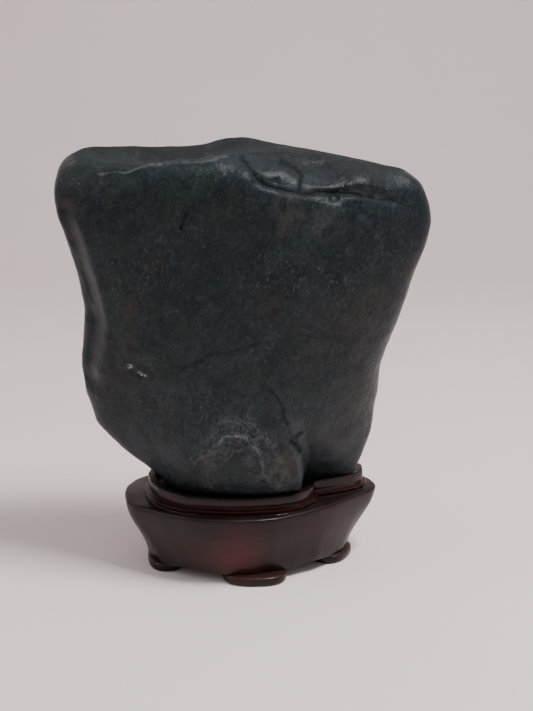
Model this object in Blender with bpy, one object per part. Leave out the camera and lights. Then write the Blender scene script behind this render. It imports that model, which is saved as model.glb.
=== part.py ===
"""A water-worn scholar's stone standing in a carved hardwood stand.

Metres, +Z up, the front towards -Y.  There are two pieces: the stone, which is
one natural lump, and the stand, which is carved from one block together with
its collar and its four feet.  The stone only rests in the stand's bed.
The dimensions below are in millimetres, and mesh_object turns them to metres.
"""

import math

import bpy
import numpy as np
from mathutils import Vector, noise

MM = 0.001
SHARP_ANGLE = math.radians(38)
HELD_CLEAR = 0.4
STONE_COLOUR = (0.020, 0.029, 0.034)
STONE_ROUGHNESS = 0.42
LACQUER_COLOUR = (0.050, 0.012, 0.009)
LACQUER_ROUGHNESS = 0.25
LACQUER_COAT = 0.6

# How finely outlines are sampled and blurred.
SAMPLES_PER_SIDE = 8
BLUR_SAMPLES = 7
BLUR_FALL = 2

# ---- The stone's dimensions ------------------------------------------------
# It starts as a flat pebble: an outline seen from the front, given depth, and
# is then worked with the bevel, swells, cleft and lines below.
STONE_CENTRE = np.array([0.0, 0.0, 145.0])
STONE_HALF_SIZE = np.array([100.0, 45.0, 96.0])
STONE_OUTLINE = [
    (52, 44.5), (63, 52), (67, 62), (72, 77), (75.5, 100), (76.8, 118), (80, 128.5), (88.3, 148),
    (94.3, 168), (100.6, 187), (103, 197), (101, 208), (96, 218.5), (87, 224.8), (66, 229.6),
    (42, 234.2), (20, 236.2), (0, 236.4), (-22, 235.2), (-38, 237.4), (-62, 239.6), (-86, 237.6),
    (-96.5, 230.5), (-100, 222), (-100, 213), (-98.8, 204), (-94.6, 189), (-89.8, 168), (-86.8, 150),
    (-88.6, 133), (-90.8, 118), (-89, 102), (-83.5, 84), (-68.5, 69), (-51, 54.5), (-41, 45), (0, 43.5),
]
STONE_WEAR = 2.5
FRONT_DEPTH = 45
BACK_DEPTH = 44
# How square the stone is in section on each side: (bearing from +X in degrees, power), 2 being round.
SQUARENESS = [
    (0, 3), (45, 4), (75, 5.5), (100, 8), (130, 7.5), (155, 4), (180, 2.6), (225, 2.8), (270, 4.2),
    (315, 3.3),
]
SQUARENESS_WEAR = 12
BACK_SQUARENESS = 0.75
# The ends are thinner than the middle: where thinning starts, over what length, and how much is lost.
LEFT_THINNING = (-30, 70, 0.24)
RIGHT_THINNING = (25, 80, 0.34)

# The bevel along the top right, planed down from its upper edge to its lower one.
BEVEL_LOW = np.array([45.0, -43.5, 214.0])
BEVEL_HIGH = np.array([45.0, -10.0, 234.5])
BEVEL_FALL = 0.206
BEVEL_LEFT = -20
BEVEL_FADE = 34
BEVEL_EDGE = 1.2

# Swells and hollows: centre, reach along X, Y and Z, and how far the middle moves.
SWELLS = [
    ((-50, 0, 230), (30, 23, 34), (0, 0, -13)),      # basin on the top left
    ((-88, -46, 228), (42, 26, 28), (0, 0, -18)),    # its front edge, lower than its back one
    ((-96, 12, 226), (14, 22, 14), (-1, 0, 2)),      # knob that ends the basin
    ((-5, 29, 236), (23, 13, 22), (0, 0, 5)),        # hump behind it
    ((4, -40, 227), (8, 12, 7), (0, -1.6, 0)),       # rough knob where the bevel begins
    ((-45, -46, 172), (50, 40, 42), (0, 2.2, 0)),    # flat left half of the front
    ((20, -46, 150), (44, 40, 34), (0, -1.4, 0)),    # fuller right half
    ((-4, -40, 80), (34, 34, 24), (0, -5, 0)),       # lobe over the front of the stand
    ((-66, -34, 104), (30, 34, 28), (2, 4.5, 0)),    # front falling away at the lower left
    ((-54, -34, 50), (26, 26, 22), (4, 9, 0)),       # and more so at the foot
    ((35, -34, 46), (13, 14, 11), (-2, 4, 0)),       # the lobe's lower right corner, worn round
    ((74, -30, 92), (24, 34, 26), (-1, 6, 0)),       # and at the lower right
    ((92, -30, 196), (24, 24, 34), (0, 3.5, 0)),     # right shoulder rounding back
    ((-34, 46, 192), (34, 30, 28), (0, -6, 0)),      # hollows and fullness of the back
    ((44, 48, 160), (36, 30, 46), (0, -7, 0)),
    ((-60, 44, 118), (34, 30, 36), (0, -6, 0)),
    ((10, 44, 100), (34, 30, 32), (0, 4.5, 0)),
    ((-12, 44, 150), (26, 30, 30), (0, 3, 0)),
    ((78, 34, 206), (24, 26, 24), (-2, -5, -2)),
    ((96, 16, 160), (16, 24, 26), (-4, 0, 0)),       # dish in the right side
    ((-92, 18, 176), (14, 20, 30), (3, 0, 0)),       # dish in the left side
    ((-31, -45, 199), (3.2, 14, 2.8), (0, 2.2, 0)),  # pits in the front
    ((47, -45, 215), (4.2, 14, 2.6), (0, 2.4, 0)),
    ((65, -44, 205), (3.4, 14, 2.4), (0, 1.8, 0)),
    ((-54, -42, 125), (5.5, 14, 3), (0, 1.6, 0)),
    ((-3, -46, 81), (3, 14, 2.6), (0, 1.8, 0)),
]

# The cleft at the stone's foot: right of this (x, z) line the front loses depth, most at the bottom.
CLEFT = [(20, 122), (24, 109), (27, 97), (28.5, 86), (30, 80), (32.4, 72), (34, 63), (34, 54), (33.5, 40)]
CLEFT_LOSS = 0.85
CLEFT_GROWTH = 1.9
CLEFT_EDGE_TOP = 18
CLEFT_EDGE_FOOT = 4
CLEFT_FOOT = 52

# Grooves, and ridges where the depth is negative: side (-1 front, 1 back), (x, z) line, width, depth.
LINES = [
    (-1, [(8, 222), (24, 219.6), (34, 218), (48, 216.6), (58, 216.8), (69, 214.6), (80, 212)], 2.2, 1.8),
    (-1, [(-93, 206), (-88, 190), (-84, 172), (-80, 156), (-79, 142), (-82, 128), (-85, 112)], 5.5, 5.5),
    (-1, [(-86, 200), (-81, 184), (-76, 166), (-73, 150), (-74.5, 134), (-79, 118)], 4, -2),
    (-1, [(-26, 70), (-16, 80), (-10, 84), (-4, 87), (2, 85), (7, 80), (11, 71), (16, 57)], 2.4, -1.3),
    (1, [(-72, 204), (-52, 178), (-38, 150), (-34, 118), (-44, 88)], 8, 3),
    (1, [(70, 196), (52, 176), (46, 150), (52, 122)], 7, 2.5),
    (1, [(-10, 224), (4, 196), (10, 160), (4, 126), (12, 92)], 9, -2.5),
]
LINE_SIDE_FADE = 12

# Unevenness left by the water: (wavelength, height).
WATER_WEAR = [(62, 1.5), (27, 0.6)]
STONE_GRID = (92, 44, 88)
STONE_TRIANGLES_KEPT = 0.09

# ---- The stand's dimensions ------------------------------------------------
STAND_CENTRE = np.array([4.0, 0.0])
RIM_OUTLINE = [
    (77.5, 12), (75.5, 4.7), (69, -2), (60.4, -10.6), (51.7, -19.3), (43.3, -26.5), (35.2, -32.3),
    (27.7, -37), (18.8, -41.8), (9.4, -44.3), (-3, -45.5), (-13.3, -45), (-22.9, -43.8),
    (-31.8, -40.6), (-45.8, -32.8), (-55, -27), (-62, -23.5), (-66.5, -15.5), (-69, -2), (-69, 9),
    (-65, 20), (-55, 31), (-40, 38.5), (-20, 43), (4, 44.5), (28, 43), (48, 38.5), (64, 31.5), (74, 22.5),
]
RIM_WEAR = 3
BASE_OUTLINE = [
    (57.5, -3.5), (50, -12.5), (41.5, -21), (29.3, -27.8), (24, -30), (15, -34), (6, -37), (-11, -37.5),
    (-23.5, -34.4), (-36.6, -29.9), (-46.5, -22), (-52.5, -13), (-55.5, -6), (-56, 2), (-54.5, 13),
    (-48, 24), (-36, 31), (-18, 35.5), (4, 36.5), (20, 35.5), (40, 31), (53, 23.5), (59.5, 14), (60, 5),
]
BASE_WEAR = 3
COLLAR_OUTLINE = [
    (68.7, 4.3), (63.7, -1.5), (54.8, -6.4), (46, -10), (40.5, -12.4), (40.2, -15), (39.4, -19.5),
    (36.1, -25.5), (31.3, -30.8), (25.8, -33.9), (18.6, -36.6), (9.4, -38.4), (-1.5, -39.5),
    (-9.6, -39.5), (-20.5, -38.3), (-31.5, -36.2), (-39, -31.6), (-47.6, -23.9), (-53.1, -12.9),
    (-55.5, 0.2), (-54, 12), (-47, 22.5), (-34, 30.5), (-16, 35), (6, 36.5), (30, 35.5), (50, 31),
    (63, 23.5), (69, 14),
]
COLLAR_WEAR = 1.5
# The body from the underside up to the shoulder: share of the way from rim to base, further inset, height.
BODY_PROFILE = [
    (1, 10, 6.6), (1, 0, 6.6), (0.87, 0, 12), (0.5, 0, 22), (0.16, 0, 31), (0.03, 0, 37.4), (0, 0.2, 39.4),
    (0, 1.6, 40.8),
]
APRON_RING = 1
APRON_DROP = 1.2
APRON_SWEEP = 10
# (inset from the collar, height): bead, cove, wall, lip, and down to the floor of the bed.
COLLAR_PROFILE = [
    (-1, 41.1), (-0.7, 42.2), (-1.9, 43.6), (-1.5, 44.1), (0.7, 44.4), (0.8, 46.4), (0, 46.6), (0.3, 50.1),
    (0.9, 50.7), (4.2, 50.7), (4.8, 50), (5.4, 46.5),
]
COLLAR_RISE = 1.5
COLLAR_RISE_FROM = 47
STAND_POINTS_ROUND = 64

# Each foot: centre (x, y), half length, half width, and the bearing of its length in degrees.
FEET = [
    ((6.3, -28), 18, 13.8, 0),
    ((-44.8, -5), 17, 11, 98),
    ((49.1, 3.4), 14.8, 12.2, 62),
    ((4, 27), 18, 13.8, 0),
]
FOOT_PROFILE = [(1.3, 0), (0.1, 1), (0, 4), (1, 5.2), (7.4, 5.7), (10.6, 9)]
FOOT_SQUARENESS = 2.5
FOOT_POINTS_ROUND = 16


def finish(name, colour, roughness, coat):
    """A plain lacquered or polished material."""
    material = bpy.data.materials.new(name)
    material.use_nodes = True
    shader = material.node_tree.nodes["Principled BSDF"]
    shader.inputs["Base Color"].default_value = (*colour, 1)
    shader.inputs["Roughness"].default_value = roughness
    shader.inputs["Metallic"].default_value = 0
    shader.inputs["Coat Weight"].default_value = coat
    return material


def mesh_object(name, points, faces, material):
    """A smooth-shaded mesh object, from points in millimetres."""
    mesh = bpy.data.meshes.new(name)
    mesh.from_pydata((np.asarray(points) * MM).tolist(), [], faces)
    mesh.materials.append(material)
    mesh.shade_smooth()
    mesh.set_sharp_from_angle(angle=SHARP_ANGLE)
    piece = bpy.data.objects.new(name, mesh)
    bpy.context.collection.objects.link(piece)
    return piece


def helper(piece):
    """Marks an object that only cuts or joins others."""
    piece.hide_render = True
    piece.display_type = "WIRE"
    return piece


def ease(value):
    """0 below 0, 1 above 1 and a soft step between."""
    value = np.clip(value, 0, 1)
    return value * value * (3 - 2 * value)


# ---- Outlines ----------------------------------------------------------------

def around(bearings, knots, values, wear):
    """Values known at some bearings, read at others and blurred over `wear` degrees."""
    offsets = np.linspace(-1, 1, BLUR_SAMPLES)
    weights = np.exp(-BLUR_FALL * offsets**2)
    total = np.zeros(len(bearings))
    for offset, weight in zip(offsets, weights):
        total += weight * np.interp(bearings + math.radians(wear) * offset, knots, values, period=math.tau)
    return total / weights.sum()


def outline_radius(bearings, outline, centre, wear):
    """Radius of a closed outline at each bearing, with its corners worn round."""
    corners = np.array(outline, float) - centre
    steps = np.linspace(0, 1, SAMPLES_PER_SIDE, endpoint=False)[:, None, None]
    sides = (corners + (np.roll(corners, -1, axis=0) - corners) * steps).reshape(-1, 2)
    return around(bearings, np.arctan2(sides[:, 1], sides[:, 0]), np.hypot(*sides.T), wear)


def path_distance(places, path):
    """Distance from each (x, z) place to a line drawn through points."""
    nearest = np.full(len(places), np.inf)
    path = np.array(path, float)
    for start, end in zip(path[:-1], path[1:]):
        along = end - start
        share = np.clip((places - start) @ along / (along @ along), 0, 1)[:, None]
        nearest = np.minimum(nearest, np.linalg.norm(places - start - share * along, axis=1))
    return nearest


# ---- The stone -----------------------------------------------------------------

def box_grid(counts):
    """Corner places of a grid drawn on a box, from -1 to 1 along each axis, and its faces."""
    index, faces = {}, []
    for axis in range(3):
        across, up = (axis + 1) % 3, (axis + 2) % 3
        for end in (0, counts[axis]):
            for i in range(counts[across]):
                for j in range(counts[up]):
                    loop = [(i, j), (i + 1, j), (i + 1, j + 1), (i, j + 1)]
                    keys = []
                    for a, b in loop if end else loop[::-1]:
                        key = [end, end, end]
                        key[across], key[up] = a, b
                        keys.append(tuple(key))
                    faces.append([index.setdefault(key, len(index)) for key in keys])
    return 2 * np.array(list(index), float) / counts - 1, faces


def pebble(grid):
    """The stone's first form: rays through the grid, cut off at a squared-off pebble."""
    rays = np.tan(grid * math.pi / 4) * STONE_HALF_SIZE
    rays /= np.linalg.norm(rays, axis=1)[:, None]
    bearings = np.arctan2(rays[:, 2], rays[:, 0])
    radius = outline_radius(bearings, STONE_OUTLINE, STONE_CENTRE[[0, 2]], STONE_WEAR)
    knots, powers = np.array(SQUARENESS, float).T
    power = around(bearings, np.radians(knots), powers, SQUARENESS_WEAR)
    power = np.where(rays[:, 1] < 0, power, 2 + BACK_SQUARENESS * (power - 2))
    depth = np.where(rays[:, 1] < 0, FRONT_DEPTH, BACK_DEPTH)
    flat = np.hypot(rays[:, 0], rays[:, 2]) / radius
    reach = (flat**power + (np.abs(rays[:, 1]) / depth) ** power) ** (-1 / power)
    points = STONE_CENTRE + rays * reach[:, None]
    for (start, length, loss), side in ((LEFT_THINNING, -1), (RIGHT_THINNING, 1)):
        points[:, 1] *= 1 - loss * ease(side * (points[:, 0] - start) / length)
    return points


def plane_bevel(points):
    """Planes the top right down to the bevel."""
    rise = BEVEL_HIGH - BEVEL_LOW
    facing = np.cross((1, 0, -BEVEL_FALL), rise)
    facing /= np.linalg.norm(facing)
    height = (points - BEVEL_LOW) @ facing
    planed = -BEVEL_EDGE * np.logaddexp(0, -height / BEVEL_EDGE)
    share = ease((points[:, 0] - BEVEL_LEFT) / BEVEL_FADE)
    return points + ((planed - height) * share)[:, None] * facing


def swell(points, centre, reach, push):
    """Moves what lies round a centre, by less towards the end of the reach."""
    away = (points - centre) / reach
    return points + np.exp(-(away**2).sum(axis=1))[:, None] * push


def set_back(points):
    """Steps the stone back on the right of the cleft."""
    cleft_x, cleft_z = np.array(CLEFT[::-1], float).T
    edge = np.interp(points[:, 2], cleft_z, cleft_x)
    deep = np.clip((cleft_z.max() - points[:, 2]) / (cleft_z.max() - CLEFT_FOOT), 0, 1)
    width = CLEFT_EDGE_TOP + (CLEFT_EDGE_FOOT - CLEFT_EDGE_TOP) * deep
    right = ease((points[:, 0] - edge) / width + 0.5)
    kept = np.where(points[:, 1] < 0, 1 - CLEFT_LOSS * deep**CLEFT_GROWTH * right, 1)
    return points * np.column_stack([np.ones_like(kept), kept, np.ones_like(kept)])


def score(points, side, path, width, depth):
    """Draws a groove or a ridge along a line on the front or the back."""
    distance = path_distance(points[:, [0, 2]], path)
    share = ease(side * points[:, 1] / LINE_SIDE_FADE) * np.exp(-((distance / width) ** 2))
    return points - (side * depth * share)[:, None] * (0, 1, 0)


def roughen(points, faces, wavelength, height):
    """Raises and lowers the surface along its normals by smooth noise."""
    corners = points[np.array(faces)]
    facing = np.cross(corners[:, 2] - corners[:, 0], corners[:, 3] - corners[:, 1])
    normals = np.zeros_like(points)
    for corner in range(4):
        np.add.at(normals, np.array(faces)[:, corner], facing)
    normals /= np.linalg.norm(normals, axis=1)[:, None]
    lift = np.array([noise.noise(Vector(point)) for point in points / wavelength])
    return points + normals * (height * lift)[:, None]


def stone_form(counts):
    """The stone's points and faces on a grid of the given fineness."""
    grid, faces = box_grid(np.array(counts))
    points = plane_bevel(pebble(grid))
    for centre, reach, push in SWELLS:
        points = swell(points, centre, reach, push)
    points = set_back(points)
    for line in LINES:
        points = score(points, *line)
    for wavelength, height in WATER_WEAR:
        points = roughen(points, faces, wavelength, height)
    return points, faces


def thin_out(piece):
    """Fewer triangles where the stone is smooth."""
    decimate = piece.modifiers.new("Fewer triangles", "DECIMATE")
    decimate.ratio = STONE_TRIANGLES_KEPT


def make_stone(material):
    """The stone, and a copy of it a little larger that clears its seat."""
    points, faces = stone_form(STONE_GRID)
    stone = mesh_object("stone", points, faces, material)
    thin_out(stone)
    seat = helper(mesh_object("seat_cutter", points, faces, material))
    thin_out(seat)
    grow = seat.modifiers.new("Clearance", "DISPLACE")
    grow.mid_level = 0
    grow.strength = HELD_CLEAR * MM
    return stone, seat


# ---- The stand -----------------------------------------------------------------

def loft(rings):
    """Faces between rings of equal count, closed by a flat cap at each end."""
    count = len(rings[0])
    faces = [list(range(count))[::-1], [(len(rings) - 1) * count + i for i in range(count)]]
    for lower in range(0, (len(rings) - 1) * count, count):
        for i in range(count):
            j = (i + 1) % count
            faces.append([lower + i, lower + j, lower + count + j, lower + count + i])
    return np.concatenate(rings), faces


def apron_drop(places):
    """How far the body's lower edge comes down to meet the feet."""
    drop = np.zeros(len(places))
    for centre, half_length, _, _ in FEET:
        beyond = np.linalg.norm(places - centre, axis=1) - half_length
        drop = np.maximum(drop, ease(1 - beyond / APRON_SWEEP))
    return APRON_DROP * drop


def stand_block():
    """The body, shoulder, bead and collar as one loft."""
    bearings = np.linspace(0, math.tau, STAND_POINTS_ROUND, endpoint=False)
    ways = np.column_stack([np.cos(bearings), np.sin(bearings)])
    rim = outline_radius(bearings, RIM_OUTLINE, STAND_CENTRE, RIM_WEAR)
    base = outline_radius(bearings, BASE_OUTLINE, STAND_CENTRE, BASE_WEAR)
    collar = outline_radius(bearings, COLLAR_OUTLINE, STAND_CENTRE, COLLAR_WEAR)
    rings = []
    for number, (share, inset, height) in enumerate(BODY_PROFILE):
        places = STAND_CENTRE + ways * (rim + share * (base - rim) - inset)[:, None]
        heights = np.full(len(places), float(height))
        if number == APRON_RING:
            heights -= apron_drop(places)
        rings.append(np.column_stack([places, heights]))
    for inset, height in COLLAR_PROFILE:
        places = STAND_CENTRE + ways * (collar - inset)[:, None]
        heights = np.full(len(places), float(height))
        if height > COLLAR_RISE_FROM:
            heights += COLLAR_RISE * ((places[:, 0] - STAND_CENTRE[0]) / collar.max()) ** 2
        rings.append(np.column_stack([places, heights]))
    return loft(rings)


def foot(centre, half_length, half_width, bearing):
    """A low rounded pad, longer than it is wide."""
    turns = np.linspace(0, math.tau, FOOT_POINTS_ROUND, endpoint=False)
    power = 2 / FOOT_SQUARENESS
    long = np.sign(np.cos(turns)) * np.abs(np.cos(turns)) ** power
    wide = np.sign(np.sin(turns)) * np.abs(np.sin(turns)) ** power
    angle = math.radians(bearing)
    rings = []
    for inset, height in FOOT_PROFILE:
        along = (half_length - inset) * long
        across = (half_width - inset) * wide
        x = centre[0] + along * math.cos(angle) - across * math.sin(angle)
        y = centre[1] + along * math.sin(angle) + across * math.cos(angle)
        rings.append(np.column_stack([x, y, np.full(len(x), float(height))]))
    return loft(rings)


def make_stand(material, seat):
    """The stand: one block with its feet, and the stone's seat cut into it."""
    stand = mesh_object("stand", *stand_block(), material)
    points, faces = [], []
    for dimensions in FEET:
        foot_points, foot_faces = foot(*dimensions)
        start = sum(len(made) for made in points)
        points.append(foot_points)
        faces += [[start + corner for corner in face] for face in foot_faces]
    feet = helper(mesh_object("feet", np.concatenate(points), faces, material))
    for name, operation, other in (("Feet", "UNION", feet), ("Seat", "DIFFERENCE", seat)):
        boolean = stand.modifiers.new(name, "BOOLEAN")
        boolean.operation = operation
        boolean.object = other
    return stand


def main():
    for obj in list(bpy.data.objects):
        bpy.data.objects.remove(obj, do_unlink=True)
    polished_stone = finish("polished_stone", STONE_COLOUR, STONE_ROUGHNESS, 0)
    lacquered_wood = finish("lacquered_wood", LACQUER_COLOUR, LACQUER_ROUGHNESS, LACQUER_COAT)
    _, seat = make_stone(polished_stone)
    make_stand(lacquered_wood, seat)


main()
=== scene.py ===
"""The scholar's stone and its lacquered stand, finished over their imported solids.

Lengths are millimetres, and `object_of` turns them to metres.  Only the camera's and the
lights' places are metres.  The front is towards -Y and up is +Z.
"""

import math

import bpy
import numpy as np
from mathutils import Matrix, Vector, noise


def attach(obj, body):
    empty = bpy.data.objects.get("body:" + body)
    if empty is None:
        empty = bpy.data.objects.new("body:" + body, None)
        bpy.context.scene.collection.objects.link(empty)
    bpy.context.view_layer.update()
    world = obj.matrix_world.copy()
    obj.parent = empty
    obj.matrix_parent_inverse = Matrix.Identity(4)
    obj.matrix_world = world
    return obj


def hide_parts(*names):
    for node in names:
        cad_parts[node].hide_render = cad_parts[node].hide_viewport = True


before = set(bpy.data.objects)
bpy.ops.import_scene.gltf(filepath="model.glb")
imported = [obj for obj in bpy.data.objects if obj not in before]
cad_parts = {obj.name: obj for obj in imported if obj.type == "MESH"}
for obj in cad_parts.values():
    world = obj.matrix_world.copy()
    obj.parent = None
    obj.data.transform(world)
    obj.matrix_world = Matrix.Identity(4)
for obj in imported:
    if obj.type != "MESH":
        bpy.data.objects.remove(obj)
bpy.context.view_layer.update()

MM = 0.001
# Room between the stone and its seat in the stand.
HELD_CLEAR = 0.4

# ---- The stone's form --------------------------------------------------------
STONE_CENTRE = np.array([0.0, 0.0, 145.0])
STONE_HALF_SIZE = np.array([100.0, 45.0, 96.0])
STONE_OUTLINE = [
    (52, 44.5), (63, 52), (67, 62), (72, 77), (75.5, 100), (76.8, 118), (80, 128.5), (88.3, 148),
    (94.3, 168), (100.6, 187), (103, 197), (101, 208), (96, 218.5), (87, 224.8), (66, 229.6),
    (42, 234.2), (20, 236.2), (0, 236.4), (-22, 235.2), (-38, 237.4), (-62, 239.6), (-86, 237.6),
    (-96.5, 230.5), (-100, 222), (-100, 213), (-98.8, 204), (-94.6, 189), (-89.8, 168),
    (-86.8, 150), (-88.6, 133), (-90.8, 118), (-89, 102), (-83.5, 84), (-68.5, 69), (-51, 54.5),
    (-41, 45), (0, 43.5),
]
# How far round its corners are worn, in degrees.
STONE_WEAR = 2.5
FRONT_DEPTH = 45
BACK_DEPTH = 44
# How square the section is at each bearing in degrees: 2 is round.
SQUARENESS = [
    (0, 3), (45, 4), (75, 5.5), (100, 8), (130, 7.5), (155, 4), (180, 2.6), (225, 2.8),
    (270, 4.2), (315, 3.3),
]
SQUARENESS_WEAR = 12
BACK_SQUARENESS = 0.75
# Where the front and back start to draw together, over what length, and by what share.
LEFT_THINNING = (-30, 70, 0.24)
RIGHT_THINNING = (25, 80, 0.34)

# The polished bevel: a plane through two points, how it falls to the right, and where it starts.
BEVEL_LOW = np.array([45.0, -43.5, 214.0])
BEVEL_HIGH = np.array([45.0, -10.0, 234.5])
BEVEL_FALL = 0.206
BEVEL_LEFT = -20
BEVEL_FADE = 34
BEVEL_EDGE = 1.2

# Swells and hollows: centre, reach along X, Y and Z, and how far the middle moves.
SWELLS = [
    ((-50, 0, 230), (30, 23, 34), (0, 0, -13)),
    ((-88, -46, 228), (42, 26, 28), (0, 0, -18)),
    ((-96, 12, 226), (14, 22, 14), (-1, 0, 2)),
    ((-5, 29, 236), (23, 13, 22), (0, 0, 5)),
    ((4, -40, 227), (8, 12, 7), (0, -1.6, 0)),
    ((-45, -46, 172), (50, 40, 42), (0, 2.2, 0)),
    ((20, -46, 150), (44, 40, 34), (0, -1.4, 0)),
    ((-4, -40, 80), (34, 34, 24), (0, -5, 0)),
    ((-66, -34, 104), (30, 34, 28), (2, 4.5, 0)),
    ((-54, -34, 50), (26, 26, 22), (4, 9, 0)),
    ((35, -34, 46), (13, 14, 11), (-2, 4, 0)),
    ((74, -30, 92), (24, 34, 26), (-1, 6, 0)),
    ((92, -30, 196), (24, 24, 34), (0, 3.5, 0)),
    ((-34, 46, 192), (34, 30, 28), (0, -6, 0)),
    ((44, 48, 160), (36, 30, 46), (0, -7, 0)),
    ((-60, 44, 118), (34, 30, 36), (0, -6, 0)),
    ((10, 44, 100), (34, 30, 32), (0, 4.5, 0)),
    ((-12, 44, 150), (26, 30, 30), (0, 3, 0)),
    ((78, 34, 206), (24, 26, 24), (-2, -5, -2)),
    ((96, 16, 160), (16, 24, 26), (-4, 0, 0)),
    ((-92, 18, 176), (14, 20, 30), (3, 0, 0)),
    ((47, -45, 215), (4.2, 14, 2.6), (0, 2.4, 0)),
    ((65, -44, 205), (3.4, 14, 2.4), (0, 1.8, 0)),
    ((-54, -42, 125), (5.5, 14, 3), (0, 1.6, 0)),
    ((-3, -46, 81), (3, 14, 2.6), (0, 1.0, 0)),
]

# The cleft at the stone's foot: right of this (x, z) line the front loses depth, most at the
# bottom.
CLEFT = [
    (20, 122), (24, 109), (27, 97), (28.5, 86), (30, 80), (32.4, 72), (34, 63), (34, 54),
    (33.5, 40),
]
CLEFT_LOSS = 0.85
CLEFT_GROWTH = 1.9
CLEFT_EDGE_TOP = 18
CLEFT_EDGE_FOOT = 4
CLEFT_FOOT = 52

# Grooves, and ridges where the depth is negative: side (-1 front, 1 back), (x, z) line, width
# and depth.
LINES = [
    (-1, [(8, 222), (24, 219.6), (34, 218), (48, 216.6), (58, 216.8), (69, 214.6),
          (80, 212)], 2.2, 1.8),
    (-1, [(-93, 206), (-88, 190), (-84, 172), (-80, 156), (-79, 142), (-82, 128),
          (-85, 112)], 5.5, 5.5),
    (-1, [(-86, 200), (-81, 184), (-76, 166), (-73, 150), (-74.5, 134), (-79, 118)], 4, -2),
    (-1, [(-26, 70), (-16, 80), (-10, 84), (-4, 87), (2, 85), (7, 80), (11, 71),
          (16, 57)], 2.4, -1.3),
    (1, [(-72, 204), (-52, 178), (-38, 150), (-34, 118), (-44, 88)], 8, 3),
    (1, [(70, 196), (52, 176), (46, 150), (52, 122)], 7, 2.5),
    (1, [(-10, 224), (4, 196), (10, 160), (4, 126), (12, 92)], 9, -2.5),
]
# A line fades out over this depth from the middle to its own side.
LINE_SIDE_FADE = 12
# The water's unevenness: wavelength and height.
WATER_WEAR = [(62, 1.5), (27, 0.6)]

# ---- What only the finished stone has ----------------------------------------
# Cracks: side, (x, z) line, width and depth.
CRACKS = [
    (-1, [(6, 226.5), (8.5, 223.5), (11.6, 221), (20, 219), (30, 217.4), (40, 217), (50, 216.4),
          (58, 215), (68, 213)], 0.9, 0.6),
    (-1, [(68, 213), (80, 210.2), (91, 206)], 0.9, 0.25),
    (-1, [(20, 231.5), (28.2, 228.1), (31, 224.6), (29.5, 219.7), (30, 217.4)], 0.9, 0.35),
    (-1, [(0.4, 232.7), (4.5, 228.6), (10, 225), (11.1, 221.5)], 0.9, 0.35),
    (-1, [(-31.4, 124.8), (-20.2, 131.4), (-13.9, 133.9), (-1.9, 135.8), (7.4, 139),
          (14.7, 140.5)], 0.6, 0.22),
    (-1, [(31.9, 143.1), (38.2, 141.9), (47.2, 141.2), (55.3, 140.2)], 0.6, 0.12),
    (-1, [(15, 114), (21, 106), (23.2, 98), (24.8, 92.2), (25.4, 88.8)], 0.7, 0.25),
    (-1, [(25.4, 88.8), (25.9, 86.5), (28.7, 81.9), (30.4, 77)], 0.7, 0.45),
    (-1, [(25.9, 86.5), (28.7, 86.8), (31.5, 87.5)], 0.7, 0.5),
    (-1, [(-28.4, 207.7), (-29.6, 202.6), (-30.8, 199)], 0.6, 0.3),
    (1, [(-60, 191), (-50, 188.5), (-43, 184), (-33, 181.5), (-24, 182), (-15, 179.5), (-9, 176),
          (3, 174.5), (12, 171), (19, 170)], 0.6, 0.35),
    (1, [(16, 121), (18.5, 112), (22.5, 103), (23, 93), (21.5, 85), (24, 76), (26, 69),
          (30, 58)], 0.7, 0.4),
]
# Ridges, with thin pale lines painted along them as highlights where they catch the light: side,
# line, width and depth.
CRESTS = [
    (-1, [(-14, 82), (-9.5, 89.3), (-5.3, 90.8), (-1.1, 90), (3.5, 87.6)], 1.2, -0.9),
    (-1, [(3.5, 87.6), (7.6, 82.4), (9.6, 77.8), (11, 72.9), (10.6, 67.6), (12.6, 63.3),
          (15.3, 60.3), (18.5, 55)], 1.1, -0.2),
    (-1, [(-24.8, 74.7), (-19.7, 79), (-14, 82)], 1.0, -0.18),
    (-1, [(-21.4, 77), (-19.3, 74), (-17.9, 69.4), (-19, 62), (-17, 55)], 1.0, -0.12),
    (-1, [(-93, 190), (-87.5, 182), (-85.9, 170), (-81.8, 156.7), (-78, 147.8), (-78.3, 135.8),
          (-81.9, 117)], 1.1, -0.35),
    (-1, [(-86.7, 172), (-83.4, 160), (-79.5, 151)], 1.0, -0.2),
    (-1, [(-74, 225), (-66.3, 226.2), (-60.2, 227), (-53.1, 228.6), (-46.4, 230), (-38.2, 231),
          (-30, 231.6), (-21.9, 232.4), (-13.3, 233.2), (-7.3, 234)], 1.0, -0.25),
    (-1, [(25.4, 84), (29, 78), (31, 72), (33, 64), (34, 57)], 1.2, -0.1),
]
# Arches of pale crystal round the lobe: side, line, width and depth.
ARCHES = [
    (-1, [(-22.5, 77.4), (-12, 84.9), (-4, 89), (4, 87), (9, 80), (11.5, 72), (12.3, 66.2),
          (16.5, 60)], 1.6, -0.5),
    (-1, [(-27, 74.5), (-16, 88.7), (-8, 97.3), (4, 95.2), (16.4, 82.2), (20.5, 70.3),
          (20.7, 56.5)], 1.8, -0.4),
    (-1, [(-17, 72), (-10, 79), (-3, 82), (4, 79), (7, 72)], 1.6, -0.3),
]
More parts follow.
